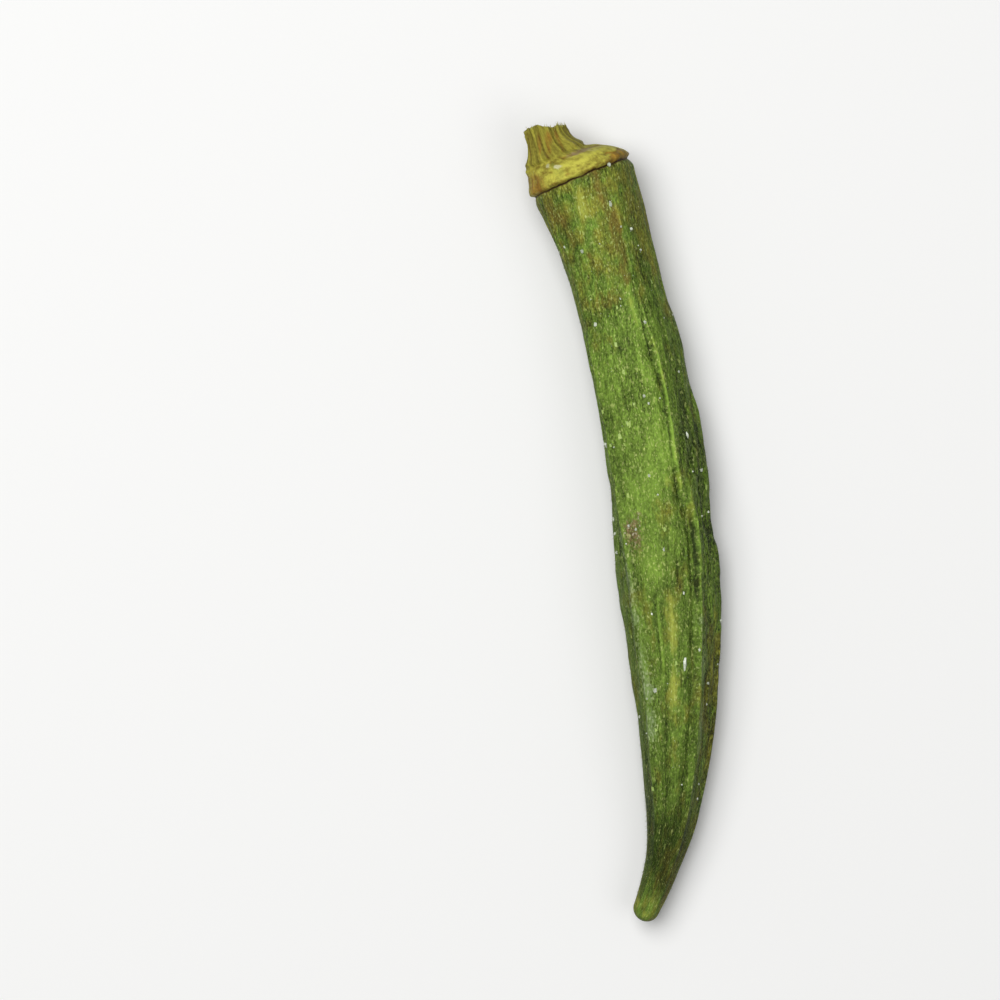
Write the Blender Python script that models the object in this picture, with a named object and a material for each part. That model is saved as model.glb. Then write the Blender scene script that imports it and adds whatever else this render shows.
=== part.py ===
"""A whole dried okra pod lying on its side: stem stub, collar and five-ribbed pod, grown as one piece.

Run it with blender --background --python part.py. Blender's units are metres, with +Z up.
The pod rests on Z = 0, with its cut stem towards +Y and its tip towards -Y, bowed towards +X.
"""

import bmesh
import bpy
import numpy as np

# Every size below is in millimetres until the mesh is made, and every turn is in degrees.
MM = 0.001

# A place along the pod is its reach: the distance along the axis from the scar under
# the collar, with the cut stem at negative reach and the tip at positive reach.
STEM_REACH = -6.4
TIP_REACH = 83.7
TIP_ROUND = 1.4

# The axis seen from above: its heading from -Y towards +X, at each reach.
HEADING = (
    (-7, 15.6), (2, 15.6), (8, 10.5), (18, 6.5), (28, 4.0), (36, -0.5),
    (44, -2.7), (54, -4.2), (62, -8.0), (70, -11.0), (76, -21), (84, -35),
)
# Height of the axis over the surface that the pod lies on.
AXIS_HEIGHT = (
    (-7, 6.0), (-3, 5.75), (0, 5.42), (6, 5.02), (14, 4.7), (24, 4.52), (36, 4.52),
    (48, 4.48), (60, 4.25), (70, 3.85), (78, 3.5), (84, 3.35),
)
# Half the width at each reach: stem stub, collar, and then the pod down to its tip.
HALF_WIDTH = (
    (-6.5, 2.15), (-5.5, 2.2), (-4.4, 2.6), (-3.5, 3.2), (-3.0, 3.3), (-2.6, 4.1), (-2.1, 4.75),
    (-1.3, 5.5), (-0.7, 5.92), (-0.25, 5.98), (0.0, 5.62), (0.4, 5.7), (2.2, 5.58),
    (5, 5.42), (12.5, 5.02), (20, 5.36), (26, 5.35), (33.5, 5.62), (42, 5.62),
    (50, 5.48), (58, 4.85), (66, 3.95), (72, 2.98), (77, 2.05), (80.5, 1.68), (82.2, 1.50),
)
# The pod is a little less deep than wide.
DEPTH_SHARE = 0.94
# How far the middle of the section stands off the axis, towards -X: most at the stem stub.
SECTION_SHIFT = (
    (-6.8, -1.7), (-4, -1.65), (-3, -1.35), (-1.7, -0.4), (-0.4, 0), (2, -0.05),
    (16, -0.28), (45, -0.42), (66, -0.36), (78, -0.15), (84, 0),
)

# The five ribs: the turn of each from straight up towards +X, at each reach.
RIBS = (
    ((0, -57), (30, -56), (40, -50), (52, -42), (60, -37), (68, -33), (84, -32)),
    ((0, 19), (18, 21), (24, 31), (30, 26), (35, 29), (39, 41), (46, 40), (56, 37), (84, 38)),
    ((0, 92), (84, 98)),
    ((0, 149), (84, 155)),
    ((0, 218), (40, 219), (84, 234)),
)
# How far the middle of the face between two ribs lies inside them, as a share of the half width.
FACE_HOLLOW = (
    (-1, 0), (1, 0.02), (16, 0.06), (30, 0.09), (45, 0.115), (66, 0.17), (76, 0.14), (82, 0.06),
)
# The ribs stand proud as narrow crests: their height, and how fast they fall off across a face.
CREST_HEIGHT = ((1, 0), (14, 0.08), (40, 0.18), (66, 0.18), (78, 0.05), (84, 0))
CREST_FALL = 0.07

# The furrow that runs beside the upper rib: its turn from the rib, its breadth, its depth.
FURROW_TURN = -7
FURROW_BREADTH = 5
FURROW_DEPTH = ((0, 0), (10, 0.08), (24, 0.28), (40, 0.36), (58, 0.38), (70, 0.22), (78, 0))

# Swellings over the seeds and dents between them: reach, turn, half length, half breadth, height.
SWELLINGS = (
    (31.5, 84, 4.0, 34, 0.28),
    (38.0, 82, 2.6, 30, -0.25),
    (45.5, 78, 4.5, 32, 0.18),
    (24.0, -15, 6.0, 26, 0.20),
    (43.5, -8, 4.0, 18, 0.24),
    (36.0, -32, 4.0, 20, -0.22),
    (50.0, 6, 4.0, 16, -0.18),
    (17.0, -74, 5.0, 30, -0.18),
    (55.0, -84, 6.0, 28, 0.15),
    (9.0, 60, 5.0, 26, -0.12),
    (21.0, 126, 5.0, 26, 0.24),
    (34.0, 122, 4.0, 24, -0.25),
    (52.0, 125, 5.0, 26, 0.22),
    (12.0, -110, 5.0, 26, 0.20),
    (28.0, -112, 5.0, 26, -0.26),
    (45.0, -106, 5.0, 26, 0.22),
    (64.0, -100, 5.0, 26, -0.16),
    (42.0, -88, 6.0, 26, 0.16),
    (-3.25, -80, 0.45, 34, 0.36),
    (-2.4, -80, 0.4, 34, -0.15),
)
# The pucker where the skin folds in beside the upper rib: the reach and turn of its two ends,
# and how far its depth has faded there.
PUCKER_ENDS = ((31.0, 60), (37.0, 24))
PUCKER_FADE = 1.1
PUCKER_BREADTH = 0.65
PUCKER_DEPTH = 0.30

# Upright fibres of the stem stub, as flutes round it that lie unevenly and differ in depth.
STEM_FLUTES = 9
FLUTE_SWAY = 50
FLUTE_UNEVEN = 0.35
FLUTE_DEPTH = ((-6.4, 0.075), (-5.2, 0.08), (-3.9, 0.06), (-3.1, 0.02), (-2.5, 0))
# The crease where the stub stands in the collar is wavy: four waves round it.
CREASE_REACH = -2.8
CREASE_LENGTH = 0.8
CREASE_WAVE = 0.22
# The stem's cut: how far its rim stands beyond the stub's end at each turn, and how deep its middle sinks.
CUT_RIM = (
    (-180, 0.10), (-130, 0.05), (-80, 0.30), (-57, 0.65), (-35, 0.76), (-18, 0.68), (-5, 0.48), (7, 0.15),
    (22, -0.08), (38, -0.15), (60, -0.32), (90, -0.37), (130, -0.10), (180, 0.10),
)
CUT_SUNK = 0.7
CUT_BEGINS = -4.5

# Columns of points follow the ribs. Rings lie closest at the collar and at the tip.
FACE_COLUMNS = 12
CAP_RINGS = (
    -6.4, -6.1, -5.7, -5.2, -4.6, -4.0, -3.5, -3.15, -2.85, -2.55, -2.2, -1.8,
    -1.35, -0.95, -0.65, -0.35, -0.15, 0.0, 0.15, 0.4, 0.9,
)
POD_RINGS = 50
TIP_RINGS = 5
CUT_SHARES = (0.2, 0.5, 0.8)

SKIN_COLOUR = (0.105, 0.190, 0.030, 1)
SKIN_ROUGHNESS = 0.62
SHARP_EDGE = 40


def through(points, at):
    """The smooth curve through (place, value) points: cubics that share their slopes, level past both ends."""
    place, value = np.array(points, float).T
    slope = np.gradient(value, place)
    at = np.clip(at, place[0], place[-1])
    k = np.clip(np.searchsorted(place, at) - 1, 0, len(place) - 2)
    run = place[k + 1] - place[k]
    t = (at - place[k]) / run
    rise = t * t * (3 - 2 * t)
    bend = t * (1 - t) ** 2 * slope[k] - t * t * (1 - t) * slope[k + 1]
    return value[k] * (1 - rise) + value[k + 1] * rise + run * bend


def wave(degrees):
    return np.sin(np.radians(degrees))


def hump(distance):
    """1 at no distance, falling off like a bell to nothing at about 2."""
    return np.exp(-(distance**2))


def spine(reach):
    """The axis seen from above: the heading's sine and cosine, summed along it from the scar."""
    fine = np.linspace(STEM_REACH - 1, TIP_REACH + 1, 2000)
    heading = np.radians(through(HEADING, fine))
    step = fine[1] - fine[0]
    x = np.cumsum(np.sin(heading)) * step
    y = -np.cumsum(np.cos(heading)) * step
    x -= np.interp(0, fine, x)
    y -= np.interp(0, fine, y)
    return np.interp(reach, fine, x), np.interp(reach, fine, y)


def rib_turns(reach):
    """The turns of the five ribs, and of the first again one turn on, along a last axis."""
    ribs = [through(rib, reach) for rib in RIBS]
    return np.stack([*ribs, ribs[0] + 360], axis=-1)


def column_turns(reach, columns):
    """The turns of the columns of points, spread over each face and closer together at its ribs."""
    ribs = rib_turns(reach)
    share = (1 - np.cos(np.pi * np.arange(columns) / columns)) / 2
    turns = ribs[..., :-1, None] + share * np.diff(ribs)[..., None]
    return turns.reshape(*np.shape(reach)[:1], -1)


def across_face(reach, turn):
    """How far each point lies across the face between its two ribs, from 0 at one to 1 at the other."""
    ribs = rib_turns(reach)
    turn = (turn - ribs[..., 0]) % 360 + ribs[..., 0]
    across = np.zeros(turn.shape)
    for low, high in zip(np.moveaxis(ribs, -1, 0), np.moveaxis(ribs, -1, 0)[1:]):
        across = np.where((turn >= low) & (turn <= high), (turn - low) / (high - low), across)
    return across


def turned_from(turn, middle):
    """The turn away from a middle one, from -180 to 180."""
    return (turn - middle + 180) % 360 - 180


def pucker(reach, turn):
    """The depth of the slanting fold: a bell across it, fading out at its two ends."""
    (start, start_turn), (end, end_turn) = PUCKER_ENDS
    share = (reach - start) / (end - start)
    middle = start_turn + (end_turn - start_turn) * share
    half = through(HALF_WIDTH, reach)
    off = np.radians(turned_from(turn, middle)) * half / PUCKER_BREADTH
    return PUCKER_DEPTH * hump(off) * hump((2 * share - 1) * PUCKER_FADE)


def radius(reach, turn):
    """Distance of the skin from the axis.

    It is the half width, less the hollow of the faces, the furrow and the pucker, plus
    the ribs' crests, the swellings, the stub's flutes and the wave of the crease.
    """
    crease = CREASE_WAVE * hump((reach - CREASE_REACH) / CREASE_LENGTH) * wave(4 * turn + 40)
    half = through(HALF_WIDTH, reach + crease)
    across = across_face(reach, turn)
    hollow = wave(180 * across) * through(FACE_HOLLOW, reach)
    flutes = wave(STEM_FLUTES * turn + FLUTE_SWAY * wave(2 * turn)) + FLUTE_UNEVEN * wave(4 * turn)
    skin = half * (1 - hollow + flutes * through(FLUTE_DEPTH, reach))
    skin += through(CREST_HEIGHT, reach) * hump(np.minimum(across, 1 - across) / CREST_FALL)
    furrow = turned_from(turn, through(RIBS[1], reach) + FURROW_TURN) / FURROW_BREADTH
    skin -= through(FURROW_DEPTH, reach) * hump(furrow) + pucker(reach, turn)
    for place, side, length, breadth, height in SWELLINGS:
        far = np.hypot((reach - place) / length, turned_from(turn, side) / breadth)
        skin += height * hump(far)
    return skin


def skin_points(reach, turn, share=1.0):
    """Points at each reach and turn, at a share of the skin's distance from the axis.

    The radius is laid off sideways and upwards from the axis. The tip closes as a
    quarter circle. The cut is ragged at its rim and sinks towards its middle.
    What would lie below the surface under the pod is pressed flat onto it.
    """
    x, y = spine(reach)
    heading = np.radians(through(HEADING, reach))
    tip = np.clip((reach - (TIP_REACH - TIP_ROUND)) / TIP_ROUND, 0, 1)
    out = radius(reach, turn) * share * np.sqrt(1 - tip**2)
    sideways = through(SECTION_SHIFT, reach) + out * wave(turn)
    height = through(AXIS_HEIGHT, reach) + out * DEPTH_SHARE * wave(90 - turn)
    end = np.clip((reach - CUT_BEGINS) / (STEM_REACH - CUT_BEGINS), 0, 1) ** 2
    rim = through(CUT_RIM, turned_from(turn, 0))
    back = end * (share * rim - CUT_SUNK * (1 - share**2))
    return np.stack(
        [
            x + np.cos(heading) * sideways - np.sin(heading) * back,
            y + np.sin(heading) * sideways + np.cos(heading) * back,
            np.maximum(height, 0),
        ],
        axis=-1,
    )


def ring_reaches():
    """The reach of each ring of points, from the rim of the cut to just short of the tip's end."""
    straight = TIP_REACH - TIP_ROUND
    pod = np.linspace(CAP_RINGS[-1], straight, POD_RINGS + 1)[1:]
    tip = straight + TIP_ROUND * wave(np.linspace(0, 90, TIP_RINGS + 1)[1:-1])
    return np.concatenate([CAP_RINGS, pod, tip])[:, None]


def pod_points():
    """The rings of points from the middle of the cut to the tip, then the cut's middle and the tip's end."""
    stem = np.full((len(CUT_SHARES), 1), STEM_REACH)
    cut = skin_points(stem, column_turns(stem, FACE_COLUMNS), np.array(CUT_SHARES)[:, None])
    reach = ring_reaches()
    rings = np.concatenate([cut, skin_points(reach, column_turns(reach, FACE_COLUMNS))])
    ends = [skin_points(np.array([place]), np.zeros(1), 0.0)[0] for place in (STEM_REACH, TIP_REACH)]
    low = np.minimum(rings.min(axis=(0, 1)), ends[1])
    high = np.maximum(rings.max(axis=(0, 1)), ends[1])
    middle = (low + high) / 2 * [1, 1, 0]
    return rings - middle, ends[0] - middle, ends[1] - middle


def pod_mesh(name):
    """The closed skin: bands of faces between the rings, and a fan of them at the cut's middle and the tip."""
    rings, cut_middle, tip = pod_points()
    skin = bmesh.new()
    loops = [[skin.verts.new(point * MM) for point in ring] for ring in rings]
    for upper, lower in zip(loops, loops[1:]):
        for k in range(len(upper)):
            skin.faces.new((upper[k - 1], upper[k], lower[k], lower[k - 1]))
    for loop, point in ((loops[0], cut_middle), (loops[-1], tip)):
        middle = skin.verts.new(point * MM)
        for k in range(len(loop)):
            skin.faces.new((loop[k], loop[k - 1], middle))
    bmesh.ops.recalc_face_normals(skin, faces=skin.faces)
    mesh = bpy.data.meshes.new(name)
    skin.to_mesh(mesh)
    skin.free()
    mesh.shade_smooth()
    mesh.set_sharp_from_angle(angle=np.radians(SHARP_EDGE))
    return mesh


def dried_skin():
    """Dull green dried skin."""
    material = bpy.data.materials.new("okra_skin")
    material.use_nodes = True
    shader = material.node_tree.nodes["Principled BSDF"]
    shader.inputs["Base Color"].default_value = SKIN_COLOUR
    shader.inputs["Roughness"].default_value = SKIN_ROUGHNESS
    shader.inputs["Metallic"].default_value = 0.0
    return material


def build():
    for leftover in list(bpy.data.objects):
        bpy.data.objects.remove(leftover)
    pod = bpy.data.objects.new("okra_pod", pod_mesh("okra_pod"))
    pod.data.materials.append(dried_skin())
    bpy.context.scene.collection.objects.link(pod)


build()
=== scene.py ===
import bpy
import numpy as np
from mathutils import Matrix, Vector


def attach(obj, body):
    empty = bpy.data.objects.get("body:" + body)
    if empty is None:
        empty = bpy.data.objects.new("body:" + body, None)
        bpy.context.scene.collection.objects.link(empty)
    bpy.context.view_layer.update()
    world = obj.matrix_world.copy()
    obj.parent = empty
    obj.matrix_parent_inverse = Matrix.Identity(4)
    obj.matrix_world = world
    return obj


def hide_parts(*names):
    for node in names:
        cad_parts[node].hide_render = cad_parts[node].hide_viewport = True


# A dried okra pod on its side. Its skin is one surface over two parameters: the reach along
# the pod, in millimetres from the scar under the collar (the cut stem is negative), and the
# turn round it, in degrees from straight up towards +X. Everything that lies on the skin is
# placed by the same two parameters.

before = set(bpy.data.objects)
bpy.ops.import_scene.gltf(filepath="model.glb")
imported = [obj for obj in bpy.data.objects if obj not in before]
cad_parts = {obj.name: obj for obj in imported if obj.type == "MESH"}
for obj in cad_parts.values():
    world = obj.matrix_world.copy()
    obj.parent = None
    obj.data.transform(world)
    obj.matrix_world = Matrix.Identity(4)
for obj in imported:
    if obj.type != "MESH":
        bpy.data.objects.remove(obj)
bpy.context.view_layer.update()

MM = 0.001
SEED = 41

# The pod's main form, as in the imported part
STEM_REACH = -6.4
TIP_REACH = 83.7
TIP_ROUND = 1.4
HEADING = (
    (-7, 15.6), (2, 15.6), (8, 10.5), (18, 6.5), (28, 4), (36, -0.5),
    (44, -2.7), (54, -4.2), (62, -8), (70, -11), (76, -21), (84, -35),
)
AXIS_HEIGHT = (
    (-7, 6), (-3, 5.75), (0, 5.42), (6, 5.02), (14, 4.7), (24, 4.52), (36, 4.52),
    (48, 4.48), (60, 4.25), (70, 3.85), (78, 3.5), (84, 3.35),
)
HALF_WIDTH = (
    (-6.5, 2.15), (-5.5, 2.2), (-4.4, 2.6), (-3.5, 3.2), (-3, 3.3), (-2.6, 4.1), (-2.1, 4.75),
    (-1.3, 5.5), (-0.7, 5.92), (-0.25, 5.98), (0, 5.62), (0.4, 5.7), (2.2, 5.58),
    (5, 5.42), (12.5, 5.02), (20, 5.36), (26, 5.35), (33.5, 5.62), (42, 5.62),
    (50, 5.48), (58, 4.85), (66, 3.95), (72, 2.98), (77, 2.05), (80.5, 1.68), (82.2, 1.5),
)
DEPTH_SHARE = 0.94
SECTION_SHIFT = (
    (-6.8, -1.7), (-4, -1.65), (-3, -1.35), (-1.7, -0.4), (-0.4, 0), (2, -0.05),
    (16, -0.28), (45, -0.42), (66, -0.36), (78, -0.15), (84, 0),
)
RIBS = (
    ((0, -57), (30, -56), (40, -50), (52, -42), (60, -37), (68, -33), (84, -32)),
    ((0, 19), (18, 21), (24, 31), (30, 26), (35, 29), (39, 41), (46, 40), (56, 37), (84, 38)),
    ((0, 92), (84, 98)),
    ((0, 149), (84, 155)),
    ((0, 218), (40, 219), (84, 234)),
)
FACE_HOLLOW = (
    (-1, 0), (1, 0.02), (16, 0.06), (30, 0.09), (45, 0.115), (66, 0.17), (76, 0.14), (82, 0.06),
)
CREST_HEIGHT = ((1, 0), (14, 0.08), (40, 0.18), (66, 0.18), (78, 0.05), (84, 0))
CREST_FALL = 0.07
FURROW_TURN = -7
FURROW_BREADTH = 5
FURROW_DEPTH = ((0, 0), (10, 0.08), (24, 0.28), (40, 0.36), (58, 0.38), (70, 0.22), (78, 0))
SWELLINGS = (
    (31.5, 84, 4, 34, 0.28), (38, 82, 2.6, 30, -0.25), (45.5, 78, 4.5, 32, 0.18), (24, -15, 6, 26, 0.2),
    (43.5, -8, 4, 18, 0.24), (36, -32, 4, 20, -0.22), (50, 6, 4, 16, -0.18), (17, -74, 5, 30, -0.18),
    (55, -84, 6, 28, 0.15), (9, 60, 5, 26, -0.12), (21, 126, 5, 26, 0.24), (34, 122, 4, 24, -0.25),
    (52, 125, 5, 26, 0.22), (12, -110, 5, 26, 0.2), (28, -112, 5, 26, -0.26), (45, -106, 5, 26, 0.22),
    (64, -100, 5, 26, -0.16), (42, -88, 6, 26, 0.16), (-3.25, -80, 0.45, 34, 0.36),
    (-2.4, -80, 0.4, 34, -0.15),
)
PUCKER_ENDS = ((31, 60), (37, 24))
PUCKER_FADE = 1.1
PUCKER_BREADTH = 0.65
PUCKER_DEPTH = 0.30
STEM_FLUTES = 9
FLUTE_SWAY = 50
FLUTE_UNEVEN = 0.35
FLUTE_DEPTH = ((-6.4, 0.075), (-5.2, 0.08), (-3.9, 0.06), (-3.1, 0.02), (-2.5, 0))
CREASE_REACH = -2.8
CREASE_LENGTH = 0.8
CREASE_WAVE = 0.22
CUT_RIM = (
    (-180, 0.1), (-130, 0.05), (-80, 0.3), (-57, 0.65), (-35, 0.76), (-18, 0.68), (-5, 0.48),
    (7, 0.15), (22, -0.08), (38, -0.15), (60, -0.32), (90, -0.37), (130, -0.1), (180, 0.1),
)
CUT_SUNK = 0.7
CUT_BEGINS = -4.5
# Ragged edges of the cut and of the scar, and lumps of the torn pith: the length and the breadth
# of the cells of each mottle, and its height.
CUT_RAGGED = ((5, 8, 0.1), (5, 4, 0.08))
SCAR_RAGGED = ((5, 12, 0.1), (5, 4, 0.05))
SCAR_REACH = 0.05
PITH_LUMPS = ((5, 15, 0.15),)
PITH_PACE = 20

# Fine relief. Each kind of wrinkle or lump: the length and the breadth of its cells, its height.
FOLDS = ((9, 10, 0.085), (5, 4.5, 0.05), (3, 2.4, 0.03))
LUMPS = ((4.2, 18, 0.1), (1.7, 9, 0.05), (0.9, 4.5, 0.022))
STUB_FIBRES = ((3, 17, 0.17), (1.8, 6, 0.05))
COLLAR_LUMPS = ((1.3, 24, 0.11), (0.7, 14, 0.07))
# How strong the lumps and the folds are along the pod. The spots where the pod's margin is bumpy
# and where the collar is smooth: reach, turn, half the length, half the breadth.
LUMP_SHARE = ((0, 0.8), (20, 0.8), (40, 1.1), (55, 0.8), (66, 0.5), (82, 0.5))
FOLD_SHARE = ((0, 0.7), (20, 1), (45, 1.1), (60, 0.8), (70, 0.6), (82, 0.5))
BUMPY_MARGIN = (46, 76, 20, 30)
SMOOTH_COLLAR = (-3, -85, 1.6, 36)

# Lines along the skin: places as (reach, turn), then breadth in millimetres and strength.
# The dark ones are creases and grooves, sunk in the relief and painted darker and a little browner as shade.
# The light ones are crests, raised in the relief and painted lighter and yellower as highlights.
DARK_STROKES = (
    (((16, 19), (21.6, 21), (23.5, 24), (26.2, 25), (28.8, 23), (31.5, 21), (34, 21),
      (37.2, 25)), 0.13, 0.7),
    (((37.3, 25), (39.1, 27), (41.8, 30), (44.6, 31), (47.5, 30)), 0.2, 0.5),
    (((37.8, 35), (40.9, 38), (43.9, 38), (48.5, 36)), 0.22, 0.8),
    (((40.8, 16), (42.3, 13), (44.1, 14), (45.9, 14), (47, 19)), 0.15, 0.65),
    (((46, -8), (46.8, -15), (48.5, -18), (52.3, -17), (55.7, -16)), 0.16, 0.45),
    (((55, -7), (59.5, -10), (65, -11), (70, -12)), 0.34, 0.45),
    (((46.8, 32), (50.4, 28), (54.9, 30), (59.5, 29), (64, 32), (68, 25)), 0.42, 0.2),
    (((62, 24), (66, 21), (70.4, 18), (73, 9), (76, 2)), 0.3, 0.45),
    (((24, -55), (30, -50), (35.5, -48), (39.3, -58), (43, -52), (47, -49), (52, -45),
      (58, -40), (66, -48)), 0.6, 0.22),
    (((65, -50), (70.7, -47), (73.3, -46), (78, -50)), 0.45, 0.4),
    (((33.5, 72), (34.9, 60), (36, 40), (37, 29)), 0.3, 0.45),
    (((55, 58), (60, 62), (70, 62)), 0.3, 0.45),
    (((12, -30), (19, -35), (27, -33)), 0.18, 0.2),
    (((26, 52), (28.5, 50), (31.5, 48)), 0.18, 0.3),
    (((14, 148), (24, 152), (38, 146), (56, 150)), 0.25, 0.45),
    (((20, -150), (36, -143), (52, -148), (66, -140)), 0.25, 0.45),
    (((34, 104), (44, 108), (60, 104)), 0.25, 0.4),
)
LIGHT_STROKES = (
    (((12.9, 23), (17.7, 25), (20, 27), (22.6, 28), (25.3, 29), (28.2, 26), (32.3, 24),
      (36.5, 28)), 0.13, 0.9),
    (((35, 60), (36, 43), (37, 33)), 0.2, 0.45),
    (((38.5, 43), (42, 44), (46, 43), (52, 40), (58, 38), (64, 48)), 0.22, 0.45),
    (((47.3, -13), (49.7, -14), (52.3, -13), (55.9, -12)), 0.15, 1.2),
    (((46.5, 6), (50.7, 4), (55.4, 2), (58, -1), (61, 1), (65, 4), (69, 2),
      (72.5, -4)), 0.85, 0.32),
    (((36, -42), (40, -47), (44.2, -44), (49, -40), (55.2, -36), (60, -34), (66, -38)), 0.26, 0.4),
    (((0.8, 21), (2.1, 23), (3.8, 25), (7.5, 24), (12, 22)), 0.2, 0.55),
    (((19.4, 6), (21, 6), (23.4, 7)), 0.28, 0.45),
    (((20.2, -34), (21.6, -34), (23.8, -34)), 0.22, 0.4),
    (((29.6, 9), (32, 9), (35.4, 10)), 0.35, 0.35),
    (((70, 34), (74, 30), (78, 26)), 0.28, 0.3),
    (((10, 172), (30, 176), (52, 170)), 0.22, 0.5),
    (((18, -104), (34, -110), (58, -104)), 0.22, 0.45),
)
STROKE_RELIEF = 0.15
# Lines round the collar: places as (turn, reach), then breadth in millimetres and strength.
# The creases are sunk in the relief and painted browner and darker, as shade in the folds.
COLLAR_CREASES = (
    (((-5, -2.6), (5, -2.5), (18, -2.45), (40, -2.6), (63, -2.5), (80, -2.4)), 0.2, 1),
    (((-62, -3), (-45, -2.9), (-28, -2.7), (-12, -2.6)), 0.2, 0.35),
    (((36, -1), (44, -1.2), (52, -0.9), (70, -1.1), (82, -0.9)), 0.16, 0.75),
    (((100, -2.7), (130, -2.5), (160, -2.8)), 0.2, 0.9),
    (((-150, -1.2), (-125, -1.5), (-100, -1.3)), 0.18, 0.6),
)
# The lips are raised in the relief and painted lighter and wax-pale, as highlights on their tops.
COLLAR_LIPS = (
    (((-20, -2.1), (-5, -1.6), (10, -1.5), (26, -1.7), (45, -1.95), (62, -1.9)), 0.3, 1),
    (((-60, -1.3), (-40, -1.1), (-22, -1)), 0.35, 0.5),
    (((100, -1.9), (135, -1.6), (160, -1.8)), 0.3, 0.7),
)
COLLAR_RELIEF = 0.16

# Grids: columns on each of the five faces, and rows on the cap, the pod and the tip.
FACE_COLUMNS = 60
CAP_ROWS = 92
CAP_END = 1.0
POD_ROWS = 208
TIP_ROWS = 12
CUT_SHARES = (0.1, 0.25, 0.4, 0.52, 0.64, 0.74, 0.84, 0.93)


def through(points, at):
    """The smooth curve through (place, value) points: cubics that share slopes, level past the ends."""
    place, value = np.array(points, float).T
    slope = np.gradient(value, place)
    at = np.clip(at, place[0], place[-1])
    k = np.clip(np.searchsorted(place, at) - 1, 0, len(place) - 2)
    run = place[k + 1] - place[k]
    t = (at - place[k]) / run
    rise = t * t * (3 - 2 * t)
    bend = t * (1 - t) ** 2 * slope[k] - t * t * (1 - t) * slope[k + 1]
    return value[k] * (1 - rise) + value[k + 1] * rise + run * bend


def wave(degrees):
    """The sine of an angle in degrees."""
    return np.sin(np.radians(degrees))


def hump(distance):
    """1 at no distance, falling off like a bell to nothing at about 2."""
    return np.exp(-(distance**2))


def ramp(value, low, high):
    """0 below low, 1 above high, and a smooth step between."""
    t = np.clip((value - low) / (high - low), 0, 1)
    return t * t * (3 - 2 * t)


def mottle(reach, turn, long, wide, seed):
    """Random heights from -1 to 1 at the corners of cells, long by wide, with smooth steps between them.

    The turn's cells meet after one turn round the pod.
    """
    columns = round(360 / wide)
    rows = int((TIP_REACH - STEM_REACH) / long) + 4
    heights = np.random.default_rng(seed).uniform(-1, 1, (rows + 1, columns))
    u = np.clip((reach - STEM_REACH) / long + 1, 0, rows - 0.001)
    v = turn / 360 * columns
    i, j = np.floor(u).astype(int), np.floor(v).astype(int)
    s, t = ramp(u - i, 0, 1), ramp(v - j, 0, 1)
    left, right = j % columns, (j + 1) % columns
    near = heights[i, left] * (1 - t) + heights[i, right] * t
    far = heights[i + 1, left] * (1 - t) + heights[i + 1, right] * t
    return near * (1 - s) + far * s


def layers(reach, turn, cells, seed, form=lambda heights: heights):
    """The sum of mottles of several kinds of cells, each formed and then multiplied by its height."""
    total = 0
    for k, (long, wide, height) in enumerate(cells):
        total += height * form(mottle(reach, turn, long, wide, seed + k))
    return total


def spine(reach):
    """The axis seen from above: the heading's sine and cosine, summed along it from the scar."""
    fine = np.linspace(STEM_REACH - 1, TIP_REACH + 1, 2000)
    heading = np.radians(through(HEADING, fine))
    step = fine[1] - fine[0]
    x = np.cumsum(np.sin(heading)) * step
    y = -np.cumsum(np.cos(heading)) * step
    x -= np.interp(0, fine, x)
    y -= np.interp(0, fine, y)
    return np.interp(reach, fine, x), np.interp(reach, fine, y)


def rib_turns(reach):
    """The turns of the five ribs, and of the first again one turn on, along a last axis."""
    ribs = [through(rib, reach) for rib in RIBS]
    return np.stack([*ribs, ribs[0] + 360], axis=-1)


def column_turns(reach, columns):
    """The turns of the columns of points: spread over each face, a little closer at its ribs."""
    ribs = rib_turns(reach)
    even = np.arange(columns) / columns
    share = 0.5 * even + 0.25 * (1 - np.cos(np.pi * even))
    turns = ribs[..., :-1, None] + share * np.diff(ribs)[..., None]
    return turns.reshape(*np.shape(reach)[:1], -1)


def across_face(reach, turn):
    """How far each point lies across the face between two ribs, from 0 at one to 1 at the other."""
    ribs = np.moveaxis(rib_turns(reach), -1, 0)
    turn = (turn - ribs[0]) % 360 + ribs[0]
    across = np.zeros(turn.shape)
    for low, high in zip(ribs, ribs[1:]):
        across = np.where((turn >= low) & (turn <= high), (turn - low) / (high - low), across)
    return across


def turned_from(turn, middle):
    """The turn away from a middle one, from -180 to 180."""
    return (turn - middle + 180) % 360 - 180


def spot(reach, turn, place, side, length, breadth):
    """A bell over the skin round one place: 1 there, falling off along and round the pod."""
    return hump(np.hypot((reach - place) / length, turned_from(turn, side) / breadth))


def pucker(reach, turn):
    """A bell across the line between the pucker's two ends, fading out at both."""
    (start, start_turn), (end, end_turn) = PUCKER_ENDS
    share = (reach - start) / (end - start)
    line = start_turn + (end_turn - start_turn) * share
    off = np.radians(turned_from(turn, line)) * through(HALF_WIDTH, reach) / PUCKER_BREADTH
    return hump(off) * hump((2 * share - 1) * PUCKER_FADE)


def stroke(reach, turn, line, breadth):
    """A bell across a line along the skin through (reach, turn) places, fading out at both ends."""
    start, end = line[0][0], line[-1][0]
    off = np.radians(turned_from(turn, through(line, reach))) * through(HALF_WIDTH, reach) / breadth
    return hump(off) * ramp(reach, start - 0.5, start + 1) * (1 - ramp(reach, end - 1, end + 0.5))


def hoop(reach, turn, line, breadth):
    """A bell across a line round the skin through (turn, reach) places, fading out at both ends."""
    start, end = line[0][0], line[-1][0]
    side = turned_from(turn, 0)
    off = (reach - through(line, side)) / breadth
    return hump(off) * ramp(side, start - 6, start + 6) * (1 - ramp(side, end - 6, end + 6))


def drawn(reach, turn, lines, kind=stroke):
    """The sum of a list of strokes or hoops, each with its breadth and strength."""
    return sum(strength * kind(reach, turn, line, breadth) for line, breadth, strength in lines)


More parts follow.
